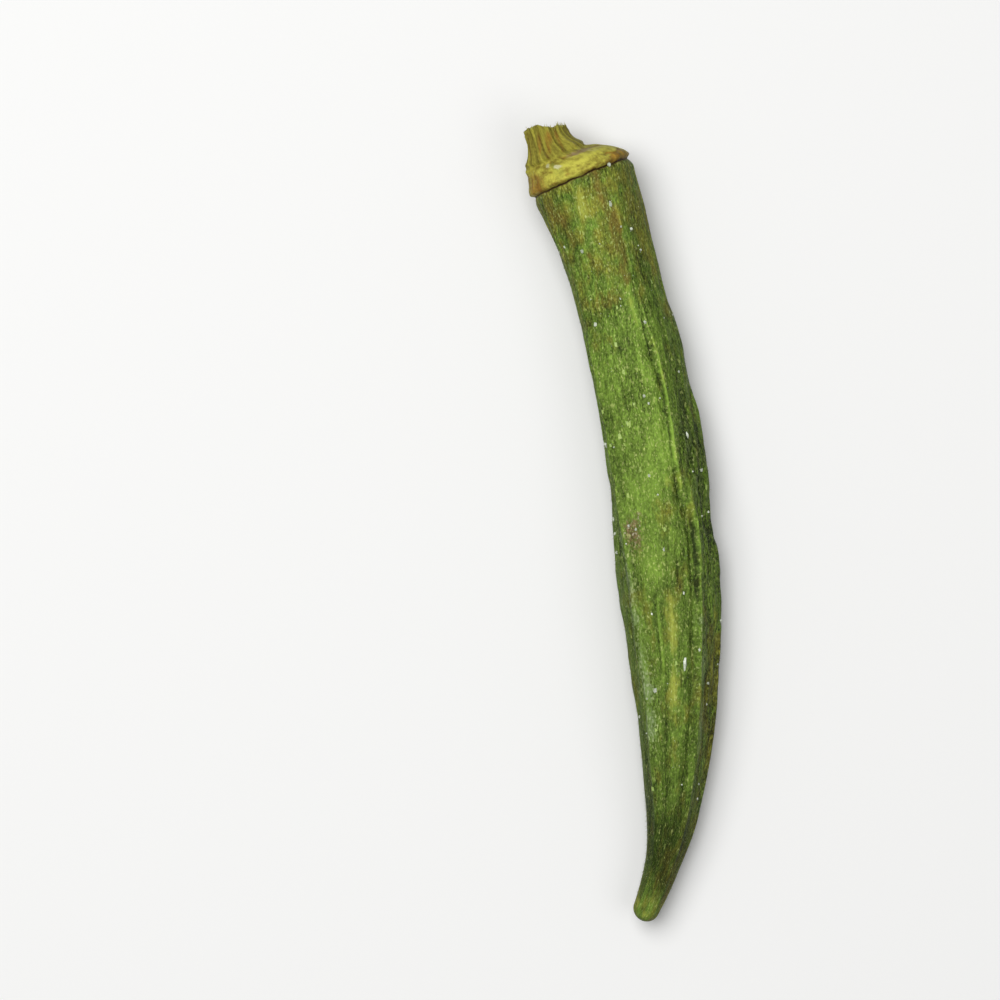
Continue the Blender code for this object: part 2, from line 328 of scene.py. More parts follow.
def radius(reach, turn):
    """Distance of the pod's main form from its axis, in millimetres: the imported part's own formula."""
    crease = CREASE_WAVE * hump((reach - CREASE_REACH) / CREASE_LENGTH) * wave(4 * turn + 40)
    half = through(HALF_WIDTH, reach + crease)
    across = across_face(reach, turn)
    hollow = wave(180 * across) * through(FACE_HOLLOW, reach)
    flutes = wave(STEM_FLUTES * turn + FLUTE_SWAY * wave(2 * turn)) + FLUTE_UNEVEN * wave(4 * turn)
    skin = half * (1 - hollow + flutes * through(FLUTE_DEPTH, reach))
    skin += through(CREST_HEIGHT, reach) * hump(np.minimum(across, 1 - across) / CREST_FALL)
    furrow = turned_from(turn, through(RIBS[1], reach) + FURROW_TURN) / FURROW_BREADTH
    skin -= through(FURROW_DEPTH, reach) * hump(furrow)
    skin -= PUCKER_DEPTH * pucker(reach, turn)
    for place, side, length, breadth, height in SWELLINGS:
        skin += height * spot(reach, turn, place, side, length, breadth)
    return skin


def body_share(reach):
    """1 on the pod, 0 on its collar and stem."""
    return ramp(reach, 0.1, 1.2)


def stub_share(reach):
    """1 on the stem stub, 0 below its crease."""
    return 1 - ramp(reach, -3.3, -2.7)


def wrinkles(reach, turn):
    """The skin's fine relief in millimetres, below and above the main form.

    Folds are sharp-edged troughs, the absolute value of a mottle of long narrow cells. Lumps are
    mottles of rounder cells. Coarser mottles bend both a little. Crests and creases are added
    where the strokes run. The stub has upright fibres, and the collar has knobs, lips and creases.
    """
    bent = turn + 5 * mottle(reach, turn, 14, 40, SEED) + 2 * mottle(reach, turn, 5, 15, SEED + 1)
    folds = layers(reach, bent, FOLDS, SEED + 10, lambda heights: 2 * np.abs(heights) - 0.6)
    lumps = layers(reach, bent, LUMPS, SEED + 20)
    fibres = layers(reach, bent, STUB_FIBRES, SEED + 30, lambda heights: 1 - 2 * np.abs(heights))
    knobs = layers(reach, turn, COLLAR_LUMPS, SEED + 34)
    bumpy = 1 + 1.2 * spot(reach, turn, *BUMPY_MARGIN)
    pod = folds * through(FOLD_SHARE, reach) + lumps * through(LUMP_SHARE, reach) * bumpy
    pod += STROKE_RELIEF * (drawn(reach, turn, LIGHT_STROKES) - drawn(reach, turn, DARK_STROKES))
    body, stub = body_share(reach), stub_share(reach)
    collar = (1 - body) * (1 - stub) * (1 - 0.8 * spot(reach, turn, *SMOOTH_COLLAR))
    slim = np.clip(through(HALF_WIDTH, reach) / 5, 0.3, 1)
    rims = drawn(reach, turn, COLLAR_LIPS, hoop) - drawn(reach, turn, COLLAR_CREASES, hoop)
    return pod * body * slim + fibres * stub + knobs * collar + COLLAR_RELIEF * rims


def skin_points(reach, turn, share=1.0, fine=1.0):
    """Points in millimetres on the skin, or at a share of its distance from the axis.

    With fine at 1 the fine relief is added, at 0 it is left out. The tip closes as a quarter
    circle. The cut is ragged at its rim and sinks towards its middle. What would lie below the
    surface under the pod is pressed onto it.
    """
    x, y = spine(reach)
    heading = np.radians(through(HEADING, reach))
    tip = np.clip((reach - (TIP_REACH - TIP_ROUND)) / TIP_ROUND, 0, 1)
    out = (radius(reach, turn) + fine * wrinkles(reach, turn)) * share * np.sqrt(1 - tip**2)
    sideways = through(SECTION_SHIFT, reach) + out * wave(turn)
    height = through(AXIS_HEIGHT, reach) + out * DEPTH_SHARE * wave(90 - turn)
    end = np.clip((reach - CUT_BEGINS) / (STEM_REACH - CUT_BEGINS), 0, 1) ** 2
    rim = through(CUT_RIM, turned_from(turn, 0))
    torn = layers(turn * 0, turn, CUT_RAGGED, SEED + 40)
    lumps = layers(reach * 0 + PITH_PACE * share, turn, PITH_LUMPS, SEED + 42)
    sunk = CUT_SUNK * (1 - share**2) + lumps
    back = end * (share * (rim + fine * torn) - sunk * ramp(1 - share, 0, 0.1))
    return np.stack(
        [
            x + np.cos(heading) * sideways - np.sin(heading) * back,
            y + np.sin(heading) * sideways + np.cos(heading) * back,
            np.maximum(height, 0),
        ],
        axis=-1,
    )


def row_reaches():
    """The reach of each row of points, from the rim of the cut to just short of the tip's end."""
    straight = TIP_REACH - TIP_ROUND
    cap = np.linspace(STEM_REACH, CAP_END, CAP_ROWS)
    pod = np.linspace(CAP_END, straight, POD_ROWS + 1)[1:]
    tip = straight + TIP_ROUND * wave(np.linspace(0, 90, TIP_ROWS + 1)[1:-1])
    return np.concatenate([cap, pod, tip])[:, None]


def main_form_middle():
    """The middle of the main form's box, seen from above, which the part has at its origin."""
    reach = np.linspace(STEM_REACH, TIP_REACH, 400)[:, None]
    points = skin_points(reach, column_turns(reach, 24), fine=0.0)
    low, high = points.min(axis=(0, 1)), points.max(axis=(0, 1))
    return (low + high) / 2 * [1, 1, 0]


# Where the tints lie on the skin. Each patch: reach, turn, half its length, half its breadth, strength.
# The bright patches: lighter skin, partly painted light where the top of the pod is lit.
BRIGHT_PATCHES = (
    (3.5, -10, 3.5, 9, 0.74), (8, -8, 4, 9, 0.2), (15.7, 13, 2.4, 5, 0.85), (20, 9, 4, 8, 0.3),
    (25.7, 14, 3.5, 6, 0.35), (31, -10, 5, 24, 0.25), (35.5, -28, 3, 12, 0.25),
    (44, -12, 2.3, 10, 0.92), (33, -8, 6, 22, 0.24), (46.5, 62, 3, 12, 0.35), (56.3, -13, 0.4, 4, 1),
    (58, -20, 6, 8, 0.15), (72, -4, 4, 8, 0.15), (82.4, -20, 1.2, 60, 0.45), (30, 150, 7, 20, 0.3),
    (52, -130, 6, 18, 0.3), (16, -140, 5, 16, 0.25),
)
DARK_PATCHES = (
    (6, 48, 7, 16, 0.15), (15, 44, 6, 14, 0.15), (4, -52, 5, 15, 0.42), (19.5, -15, 0.5, 5, 0.9),
    (25, 13, 0.35, 6, 1), (37.6, 4, 2, 15, 0.24), (46.7, 4, 1.5, 13, 0.2), (41.4, -26, 2.6, 9, 0.12),
    (52, -18, 8, 14, 0.12), (62, -16, 6, 10, 0.05), (40, 60, 9, 9, 0.25), (62, -50, 12, 12, 0.2),
    (74.8, -4, 5, 54, 0.62), (82.5, -11, 0.5, 14, 0.9), (80.6, -50, 1.6, 16, 0.45),
    (78.5, 22, 2.4, 14, 0.35), (40, 100, 8, 20, 0.25), (60, 160, 8, 22, 0.3), (24, -100, 8, 20, 0.25),
)
YELLOW_PATCHES = (
    (48.8, 4, 3, 12, 0.6), (56, 2, 6, 12, 0.62), (34, 9, 3.5, 7, 0.35), (64, 58, 6, 8, 0.4),
    (36, 24, 3, 5, 0.3), (50, 76, 9, 12, 0.35), (30, 72, 5, 10, 0.3), (42, -30, 2, 6, 0.35),
    (28, -20, 5, 12, 0.25), (82, -45, 0.8, 18, 0.8), (82.9, 4, 0.7, 24, 1), (15.7, 13, 3, 6, 0.6),
    (3.5, -12, 3.5, 9, 0.45), (47, 150, 5, 9, 0.45), (22, 215, 9, 8, 0.4), (58, -96, 6, 10, 0.35),
)
BROWN_PATCHES = (
    (1.6, -56, 3, 16, 0.75), (5, -42, 4.5, 14, 0.6), (40, -37, 2.6, 22, 0.42), (12.5, -26, 3, 14, 0.58),
    (14.5, -10, 3, 12, 0.55), (9, 4, 4, 8, 0.35), (20, -24, 3, 10, 0.35), (8.6, -25, 0.35, 3.5, 1.3),
    (59.5, 42, 1.2, 4, 0.9), (63, 50, 1.6, 4, 0.8), (17, 62, 5, 14, 0.3), (43, 33, 4.5, 3.5, 0.5),
    (55, 30, 8, 4.5, 0.6), (56.5, 36, 2.5, 6, 0.4), (60.5, 42, 4.5, 7, 0.45), (64.5, -26, 5, 12, 0.25),
    (80.3, 62, 2.6, 26, 1.1), (79, -80, 3, 18, 0.3), (18, 170, 4, 14, 0.5), (44, -150, 3, 12, 0.5),
    (66, 110, 4, 14, 0.4),
)
# The two on the collar lie in its fold at the foot of the stub: a rosy tint, partly painted shade in the
# fold.
ROSY_PATCHES = (
    (39.6, -43, 2.1, 13, 0.62), (41, -32, 2, 14, 0.66), (38, -26, 1.2, 10, 0.42),
    (-2.5, 38, 0.36, 24, 0.92), (-2.45, 14, 0.32, 14, 0.75), (50, 175, 2.2, 9, 0.7),
)
# The brown streak that runs down from the scar, and those of the stub.
BROWN_STROKES = (
    (((-0.4, 10), (0.5, 11), (2.1, 14), (3.8, 16), (5.3, 16), (7.1, 17), (9.5, 16), (13, 14)), 0.7, 1.35),
    (((-6.2, 9), (-5, 1), (-4.2, -8), (-2.7, -20)), 0.5, 0.95),
    (((-6.2, 31), (-5, 27), (-4.3, 23), (-2.8, 8)), 0.34, 1.05),
    (((-6.2, -22), (-5.1, -25), (-3.4, -38)), 0.28, 1.05),
    (((-5.8, -62), (-4.6, -60), (-3.2, -66)), 0.24, 0.8),
    (((-6.2, 58), (-4.8, 52), (-3, 38)), 0.22, 0.95),
    (((-5.8, 110), (-4.4, 118), (-3.2, 112)), 0.28, 0.7),
    (((-5.8, -150), (-4.4, -142), (-3.2, -150)), 0.28, 0.7),
    (((-5.8, 165), (-4.4, 172), (-3.2, 166)), 0.2, 0.8),
)
# The pale bloom that lies along the ridges.
BLOOM_STROKES = (
    (((39.5, -58), (43, -52), (47, -46), (52, -41), (56, -37), (60, -34), (65, -35)), 0.85, 0.8),
    (((49.5, 40), (54, 44), (57.5, 44)), 0.8, 0.9),
    (((58.5, 47), (61, 50), (66, 56)), 0.8, 0.9),
    (((26, 46), (32, 50), (38.5, 56)), 0.8, 0.52),
    (((30, -62), (36, -66), (41, -70)), 0.35, 0.45),
    (((20, 160), (36, 166), (50, 160)), 0.5, 0.5),
    (((20, -118), (40, -124), (60, -116)), 0.5, 0.5),
)
# Where the green is less olive. With a strength below 0 it is more so.
GREEN_PATCHES = (
    (44.2, -12, 3, 14, 0.45), (33, -12, 6, 22, 0.28), (8, 42, 7, 14, 0.3), (68, 2, 3.5, 8, 0.3),
    (52, 22, 5, 6, 0.25), (28, 14, 9, 7, 0.3), (37.4, 6, 2, 15, -0.68), (46.7, 4, 1.6, 15, -0.65),
    (40.6, 4, 3, 9, -0.4),
)
# Browned stretches of the collar, and its waxy pale spots.
COLLAR_BROWN = (
    (-1, -66, 1.1, 20, 0.85), (-0.6, 54, 0.6, 20, 1), (-1.4, 72, 0.7, 12, 0.42),
    (-1.9, -66, 1, 22, 0.72), (-1.2, -44, 0.8, 14, 0.32), (-2.3, -30, 0.5, 30, 0.2),
    (-0.7, -13, 0.2, 3, 0.9), (-0.8, 140, 0.9, 26, 0.7), (-1.2, -150, 0.9, 22, 0.6),
)
WAXY_SPOTS = (
    (-2.4, -30, 0.3, 4, 1.2), (-1.95, -18, 0.3, 4.2, 1.2), (-2.3, 36, 0.22, 9, 0.5),
    (-2, 150, 0.3, 6, 0.8),
)
# How olive the green is along the pod, and how much darker it gets.
OLIVE_ALONG = (
    (0, 0.96), (6, 0.84), (12, 0.7), (18, 0.48), (24, 0.28), (30, 0.2), (42, 0.32),
    (54, 0.56), (70, 0.62), (83, 0.72),
)
SHADE_ALONG = (
    (0, 0.02), (12, 0.08), (20, 0.04), (28, 0.03), (34, 0.07), (42, 0.11),
    (52, 0.18), (60, 0.24), (68, 0.37), (75, 0.66), (79, 0.42), (82, 0.04), (83, 0),
)
# How strongly the fine relief is painted into the tint as light and shade: raised skin lighter, sunk skin
# darker.
RELIEF_SHADING_ALONG = ((0, 2.3), (44, 2.2), (56, 1.6), (84, 1.4))
# Painted shade on the facets beyond the first rib, towards -X, and beyond the second, towards +X: the flanks
# darker than the top.
LEFT_SHADE = ((0, 0.1), (24, 0.2), (34, 0.32), (44, 0.34), (60, 0.24), (72, 0.24), (80, 0.05))
RIGHT_SHADE = ((0, 0.1), (14, 0.2), (24, 0.44), (36, 0.46), (48, 0.36), (60, 0.2), (70, 0.08), (78, 0))
# How much calmer the tint is on the face between the two upper ribs.
CALM_ALONG = ((0, 0), (26, 0.05), (34, 0.12), (44, 0.16), (50, 0.24), (62, 0.16), (72, 0), (84, 0))
# How much livelier it is beyond the second rib.
LIVELY_ALONG = ((0, 0), (22, 0.05), (34, 0.32), (66, 0.42), (76, 0.15), (84, 0))
# Over how many degrees a facet's painted shade grows beyond its rib, and where round the pod it fades again.
FACET_EDGE = 24
FACET_END = (105, 135)
SCAR_BREADTH = 0.11
# How many degrees the fibres wind round the pod, along it.
FIBRE_WINDING = ((-7, 0), (0, 0), (10, 16), (22, 28), (34, 32), (50, 34), (84, 40))
FIBRE_RADIUS = 5.4
# Slow changes of the tint: the length and the breadth of each mottle's cells, and its draw.
TINT_MOTTLES = {
    "slow": (6, 40, 60),
    "bright": (3.4, 24, 61),
    "yellow": (2.6, 14, 62),
    "brown": (3, 16, 63),
    "worn": (1.6, 30, 64),
    "hue": (3.2, 24, 65),
    "facet": (3, 18, 66),
}


def patches(reach, turn, places):
    """The sum of a list of patches at each point of the skin."""
    return sum(strength * spot(reach, turn, *place) for *place, strength in places)


def beside(away, low, high):
    """From 0 at low to 1 at high, and back to 0 on the far side of the pod, where the turns meet."""
    return ramp(away, low, high) * (1 - ramp(away, 120, 170))


def scar_place(turn):
    """The reach of the scar line at each turn: nearly level, with a ragged edge."""
    return SCAR_REACH + layers(turn * 0, turn, SCAR_RAGGED, SEED + 50)


def skin_masks(reach, turn):
    """The masks that the skin's finish reads, from 0 to 1. Calm alone falls below 0, where it is lively."""
    body, stub = body_share(reach), stub_share(reach)
    side = np.abs(turned_from(turn, 0))
    mottles = {}
    for name, (long, wide, draw) in TINT_MOTTLES.items():
        mottles[name] = mottle(reach, turn, long, wide, SEED + draw)
    # Painted shade on the flanks beyond the two upper ribs.
    beyond_left = turned_from(through(RIBS[0], reach), turn)
    beyond_right = turned_from(turn, through(RIBS[1], reach) + 4)
    facets = through(LEFT_SHADE, reach) * beside(beyond_left, -4, FACET_EDGE)
    facets += through(RIGHT_SHADE, reach) * beside(beyond_right, 0, FACET_EDGE)
    facets *= (1 - 0.6 * ramp(side, *FACET_END)) * (1 + 0.3 * mottles["facet"])
    uneven = 0.85 + 0.35 * mottle(turn * 0, turn, 5, 14, SEED + 52)
    scar = hump((reach - scar_place(turn)) / SCAR_BREADTH) * uneven
    # A brown band along the scar, stronger towards +X: partly the collar's ochre, partly painted shade under
    # its overhanging lip.
    scar_band_and_shade = hump((reach + 0.15) / 0.5) * (0.55 + 0.35 * ramp(turned_from(turn, 0), 10, 60))
    worn = 1 + 0.6 * mottles["worn"]
    creases = drawn(reach, turn, DARK_STROKES) * worn
    crests = drawn(reach, turn, LIGHT_STROKES) * worn
    folds = drawn(reach, turn, COLLAR_CREASES, hoop)
    lips = drawn(reach, turn, COLLAR_LIPS, hoop)
    # The shade mask: painted shade on the flanks and in the creases, with darker patches, a slow mottle and
    # a darkening along the pod.
    dark = through(SHADE_ALONG, reach) + facets + patches(reach, turn, DARK_PATCHES)
    dark += 0.10 * mottles["slow"]
    # Painted shade in the creases and in the pucker's fold.
    dark += 0.8 * creases + 0.25 * pucker(reach, turn)
    # Lighter patches and a mottle, with painted highlights along the crests, which are painted yellower as
    # well.
    bright = patches(reach, turn, BRIGHT_PATCHES) + 0.12 * mottles["bright"] + 0.9 * crests
    yellow = patches(reach, turn, YELLOW_PATCHES) + 0.50 * crests
    yellow += 0.5 * np.clip(mottles["yellow"] - 0.45, 0, 1)
    brown = patches(reach, turn, BROWN_PATCHES) + 0.15 * creases
    brown += 0.55 * np.clip(mottles["brown"] - 0.5, 0, 1)
    # On the collar the creases are painted browner, as shade in its folds.
    brown = brown * body + (patches(reach, turn, COLLAR_BROWN) + 0.8 * folds) * (1 - body)
    olive = through(OLIVE_ALONG, reach) + 0.20 * mottles["slow"] + 0.22 * mottles["hue"]
    olive += 0.30 * beside(beyond_right, 4, 20) * ramp(reach, 40, 56) - patches(reach, turn, GREEN_PATCHES)
    calm = through(CALM_ALONG, reach) * beside(-beyond_right, -2, 10)
    calm -= through(LIVELY_ALONG, reach) * beside(beyond_right, 2, 16)
    masks = {
        "body": ramp(reach, -0.1, 0.25),
        "stub": stub,
        "scar": 1.6 * scar,
        "brown": brown + drawn(reach, turn, BROWN_STROKES) + scar_band_and_shade,
        "rosy": patches(reach, turn, ROSY_PATCHES),
        "olive": olive,
        "bloom": drawn(reach, turn, BLOOM_STROKES) * worn * body,
        "yellow": yellow,
        # The real waxy spots, with a wax-pale painted highlight along the collar's lips.
        "waxy_and_highlight": patches(reach, turn, WAXY_SPOTS) + 0.12 * lips,
        # The collar's folds add painted shade.
        "shade": dark * body + 0.5 * folds,
        # Lighter patches of the skin, with painted highlights along the crests and on the collar's lips.
        "light_patches_and_highlights": bright * body + lips,
        # The fine relief painted as light and shade.
        "relief_light_and_shade": 0.5 + through(RELIEF_SHADING_ALONG, reach) * wrinkles(reach, turn),
    }
    return {"calm": calm, **{name: np.clip(values, 0, 1) for name, values in masks.items()}}


def fibre_place(reach, turn, share):
    """Places for the fibre pattern, in millimetres: on a straight pod, whose fibres wind a little."""
    wound = np.radians(turn + through(FIBRE_WINDING, reach))
    out = FIBRE_RADIUS * share
    return np.stack([out * np.sin(wound), reach + 0 * turn, out * np.cos(wound)], axis=-1)


def skin_grid():
    """The reach, turn and share of every point: first the rings sunk in the cut, then the rows."""
    rows = row_reaches()
    reach = np.concatenate([np.full((len(CUT_SHARES), 1), STEM_REACH), rows])
    share = np.concatenate([CUT_SHARES, np.ones(len(rows))])[:, None]
    return np.broadcast_arrays(reach, column_turns(reach, FACE_COLUMNS), share)


def paint(mesh, name, values, kind="FLOAT", key="value"):
    """Writes values on a mesh's points, under the name that a finish reads."""
    attribute = mesh.attributes.new(name, kind, "POINT")
    attribute.data.foreach_set(key, values.astype(np.float32).ravel())


def closed_skin(name):
    """The skin as bands between its rings, with a fan of faces at the cut's middle and at the tip."""
    reach, turn, share = skin_grid()
    rows, columns = reach.shape
    reach = np.append(reach, [STEM_REACH, TIP_REACH])
    turn, share = np.append(turn, [0, 0]), np.append(share, [0, 0])
    points = skin_points(reach, turn, share) - middle
    k = np.arange(rows * columns).reshape(rows, columns)
    before = np.roll(k, 1, axis=1)
    bands = np.stack([before[1:], k[1:], k[:-1], before[:-1]], axis=-1).reshape(-1, 4)
    cut_fan = np.stack([before[0], k[0], k[0] * 0 + rows * columns], axis=-1)
    tip_fan = np.stack([k[-1], before[-1], k[-1] * 0 + rows * columns + 1], axis=-1)
    mesh = mesh_of(name, points, [bands, cut_fan, tip_fan])
    for tint, values in skin_masks(reach, turn).items():
        paint(mesh, tint, values)
    paint(mesh, "cut", 1 - share)
    paint(mesh, "fibre_place", fibre_place(reach, turn, share), "FLOAT_VECTOR", "vector")
    return mesh


def mesh_of(name, points, face_sets):
    """A mesh from points in millimetres and arrays of faces, each with one number of corners."""
    mesh = bpy.data.meshes.new(name)
    sizes = np.concatenate([np.full(len(faces), faces.shape[1]) for faces in face_sets])
    corners = np.concatenate([faces.ravel() for faces in face_sets])
    mesh.vertices.add(len(points))
    mesh.vertices.foreach_set("co", (points * MM).astype(np.float32).ravel())
    mesh.loops.add(len(corners))
    mesh.loops.foreach_set("vertex_index", corners.astype(np.int32))
    mesh.polygons.add(len(sizes))
    mesh.polygons.foreach_set("loop_start", (np.cumsum(sizes) - sizes).astype(np.int32))
    mesh.update(calc_edges=True)
    mesh.validate()
    return mesh


def linked(name, data):
    """A new object in the scene, with its mesh, light or camera."""
    made = bpy.data.objects.new(name, data)
    bpy.context.scene.collection.objects.link(made)
    return made


def piece(name, mesh, material, smooth=True):
    """An object with its finish, riding on the pod."""
    mesh.materials.append(material)
    mesh.polygons.foreach_set("use_smooth", [smooth] * len(mesh.polygons))
    made = linked(name, mesh)
    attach(made, "root")
    return made


def skin_frames(reach, turn):
    """Points on the skin, with unit directions across it, along it towards the tip and outwards."""
    point = skin_points(reach, turn) - middle
    along = skin_points(reach + 0.1, turn) - skin_points(reach - 0.1, turn)
    across = skin_points(reach, turn + 1) - skin_points(reach, turn - 1)
    out = np.cross(along, across)
    out /= np.linalg.norm(out, axis=-1, keepdims=True)
    along /= np.linalg.norm(along, axis=-1, keepdims=True)
    return point, np.stack([np.cross(out, along), along, out], axis=-2)


def strewn(name, reach, turn, shapes, faces):
    """Small shapes on the skin, the corners of each in millimetres along the directions at its place."""
    point, frames = skin_frames(reach, turn)
    points = point[:, None] + np.einsum("nkc,ncx->nkx", shapes, frames)
    points[..., 2] = np.maximum(points[..., 2], 0)
    count = shapes.shape[1]
    copies = np.arange(len(shapes))[:, None, None] * count + faces[None]
    return mesh_of(name, points.reshape(-1, 3), [copies.reshape(-1, faces.shape[1])])


def random_turns(rng, count):
    """Rotations drawn at random: the first factor of random matrices, turned to be right-handed."""
    turns, _ = np.linalg.qr(rng.normal(size=(count, 3, 3)))
    turns[:, :, 0] *= np.sign(np.linalg.det(turns))[:, None]
    return turns


# Listed salt grains: reach, turn, length and breadth in millimetres.
SALT_GRAINS = (
    (54.8, 18, 1.25, 0.34), (57.5, -26, 0.45, 0.34), (60.6, -63, 0.3, 0.24), (7.2, 38, 0.36, 0.32),
    (7.9, -33, 0.36, 0.28), (16.2, -43, 0.44, 0.36), (4, 19, 0.6, 0.28), (17.3, 22, 0.32, 0.28),
    (33.8, -9, 0.28, 0.26), (25.1, 1, 0.34, 0.26), (26, 5, 0.3, 0.22), (38.2, -72, 0.34, 0.3),
    (39.9, -73, 0.3, 0.24), (42, -75, 0.3, 0.26), (29.6, -69, 0.46, 0.32), (34, 72, 0.34, 0.28),
    (50.4, 93, 0.3, 0.24), (0.1, 35, 0.42, 0.32), (39.1, -42, 0.3, 0.24), (39.6, -33, 0.32, 0.22),
    (42.1, -1, 0.36, 0.2), (38.5, 88, 0.26, 0.22), (53.3, 36, 0.34, 0.24), (57, 67, 0.3, 0.24),
    (30.2, 52, 0.55, 0.24), (47, 20, 0.3, 0.22), (30, 140, 0.4, 0.32), (12, 120, 0.36, 0.3),
    (52, -110, 0.4, 0.3), (21, -120, 0.36, 0.28),
)
# Listed flakes: reach and turn.
FLAKES = ((25.7, -13), (27.8, -24), (28.9, -39), (30, -35), (29.8, -53), (27.7, -26), (33, -20), (18.9, -19))
PLACED_FLAKE_SIZE = 1.2
GRAIN_COUNT = 50
DUST_COUNT = 260
HAIR_COUNT = 8000
FLAKE_COUNT = 26
SPLINTER_COUNT = 80
# Sizes in millimetres, from the smallest to the largest, and the radius of a spike's root.
GRAIN_SIZES = (0.08, 0.20)
DUST_SIZES = (0.05, 0.11)
HAIR_LENGTHS = (0.12, 0.34)
SHORTEST_HAIR = 0.06
HAIR_ROOT = 0.016
HAIR_LEAN = (25, 75)
FLAKE_SIZES = (0.18, 0.36)
SPLINTER_LENGTHS = (0.15, 0.55)
SPLINTER_ROOT = 0.07
CUBE = np.array([(x, y, z) for x in (-0.5, 0.5) for y in (-0.5, 0.5) for z in (-0.5, 0.5)])
CUBE_FACES = np.array([(0, 1, 3, 2), (4, 6, 7, 5), (0, 4, 5, 1), (2, 3, 7, 6), (0, 2, 6, 4), (1, 5, 7, 3)])
OCTAHEDRON = np.array([(1, 0, 0), (-1, 0, 0), (0, 1, 0), (0, -1, 0), (0, 0, 1), (0, 0, -1)]) * 0.5
OCTAHEDRON_FACES = np.array(
    [(0, 2, 4), (2, 1, 4), (1, 3, 4), (3, 0, 4), (2, 0, 5), (1, 2, 5), (3, 1, 5), (0, 3, 5)]
)
TETRAHEDRON_FACES = np.array([(0, 1, 2), (0, 3, 1), (1, 3, 2), (2, 3, 0)])


def salt_grains():
    """Crushed crystals: cubes with shaken corners, turned at random and drawn out along the pod."""
    rng = np.random.default_rng(SEED + 70)
    reach, turn = rng.uniform(1, 74, GRAIN_COUNT), rng.uniform(-180, 180, GRAIN_COUNT)
    small = rng.uniform(*GRAIN_SIZES, GRAIN_COUNT)
    loose = np.stack([reach, turn, small * rng.uniform(1, 1.6, GRAIN_COUNT), small], axis=-1)
    reach, turn, length, breadth = np.concatenate([SALT_GRAINS, loose]).T
    count = len(reach)
    corners = CUBE + rng.uniform(-0.2, 0.2, (count, 8, 3))
    turns = random_turns(rng, count)
    corners = np.einsum("nkc,ncx->nkx", corners * breadth[:, None, None] * 0.8, turns)
    corners[..., 1] *= (length / breadth)[:, None]
    corners[..., 2] += 0.22 * breadth[:, None]
    return strewn("salt_grains", reach, turn, corners, CUBE_FACES)


def salt_dust():
    """Specks of salt, far smaller than the grains, all over the pod: eight-sided crystals."""
    rng = np.random.default_rng(SEED + 71)
    reach = rng.uniform(-4, 80, DUST_COUNT)
    turn = rng.uniform(-180, 180, DUST_COUNT)
    size = rng.uniform(*DUST_SIZES, (DUST_COUNT, 1, 1))
    corners = np.einsum("kc,ncx->nkx", OCTAHEDRON, random_turns(rng, DUST_COUNT)) * size
    return strewn("salt_dust", reach, turn, corners, OCTAHEDRON_FACES)


def skin_hairs():
    """Short stiff hairs: slim spikes that lean towards the tip and a little to either side."""
    rng = np.random.default_rng(SEED + 72)
    reach = TIP_REACH * 0.97 * rng.uniform(0.02, 1, HAIR_COUNT)
    turn = rng.uniform(-180, 180, HAIR_COUNT)
    length = rng.uniform(*HAIR_LENGTHS, HAIR_COUNT) * ramp(reach, 0, 30) + SHORTEST_HAIR
    lean = np.radians(rng.uniform(*HAIR_LEAN, HAIR_COUNT))
    sway = rng.normal(0, 0.35, HAIR_COUNT)
    spikes = np.zeros((HAIR_COUNT, 4, 3))
    spikes[:, :3] = HAIR_ROOT * np.array([(1, 0, 0), (-0.5, -0.87, 0), (-0.5, 0.87, 0)])
    tip = np.stack([np.sin(lean) * np.sin(sway), np.sin(lean) * np.cos(sway), np.cos(lean)], axis=-1)
    spikes[:, 3] = tip * length[:, None]
    return strewn("skin_hairs", reach, turn, spikes, TETRAHEDRON_FACES)


def skin_flakes():
    """Thin scales of pale dry skin, lying flat: cubes pressed thin, with shaken corners."""
    rng = np.random.default_rng(SEED + 73)
    loose = np.stack([rng.uniform(8, 72, FLAKE_COUNT), rng.uniform(-180, 180, FLAKE_COUNT)], axis=-1)
    reach, turn = np.concatenate([FLAKES, loose]).T
    count = len(reach)
    corners = CUBE + rng.uniform(-0.34, 0.34, (count, 8, 3)) * [1, 1, 0.3]
    size = rng.uniform(*FLAKE_SIZES, (count, 1)) * np.array([[0.8, 1.3, 0.10]])
    size[: len(FLAKES)] *= PLACED_FLAKE_SIZE
    corners *= size[:, None, :]
    corners[..., 2] += 0.01
    return strewn("skin_flakes", reach, turn, corners, CUBE_FACES)


def stem_splinters():
    """Torn fibres at the rim of the cut: slim spikes that point away from the pod."""
    rng = np.random.default_rng(SEED + 74)
    reach = np.full(SPLINTER_COUNT, STEM_REACH + 0.12)
    turn = rng.uniform(-180, 180, SPLINTER_COUNT)
    length = rng.uniform(*SPLINTER_LENGTHS, SPLINTER_COUNT)
    root = SPLINTER_ROOT * np.array([(1, 0, 0), (-0.5, 0, -0.8), (-0.5, 0, 0.5)])
    spikes = np.zeros((SPLINTER_COUNT, 4, 3))
    spikes[:, :3] = root * rng.uniform(0.5, 1.3, (SPLINTER_COUNT, 1, 1))
    sway = rng.normal(0, 0.25, (SPLINTER_COUNT, 2))
    tip = np.stack([sway[:, 0], np.full(SPLINTER_COUNT, -1.0), sway[:, 1]], axis=-1)
    spikes[:, 3] = tip * length[:, None]
    return strewn("stem_splinters", reach, turn, spikes, TETRAHEDRON_FACES[:, ::-1])


def join(tree, source, socket):
    """Links a node's output into a socket, or writes a plain value there."""
    if isinstance(source, bpy.types.NodeSocket):
        tree.links.new(source, socket)
    else:
        socket.default_value = source


def add(tree, kind, inputs=(), **settings):
    """A new node with its settings, and its inputs joined by name or by number."""
    node = tree.nodes.new(kind)
    for key, value in settings.items():
        setattr(node, key, value)
    for key, source in dict(inputs).items():
        join(tree, source, node.inputs[key])
    return node


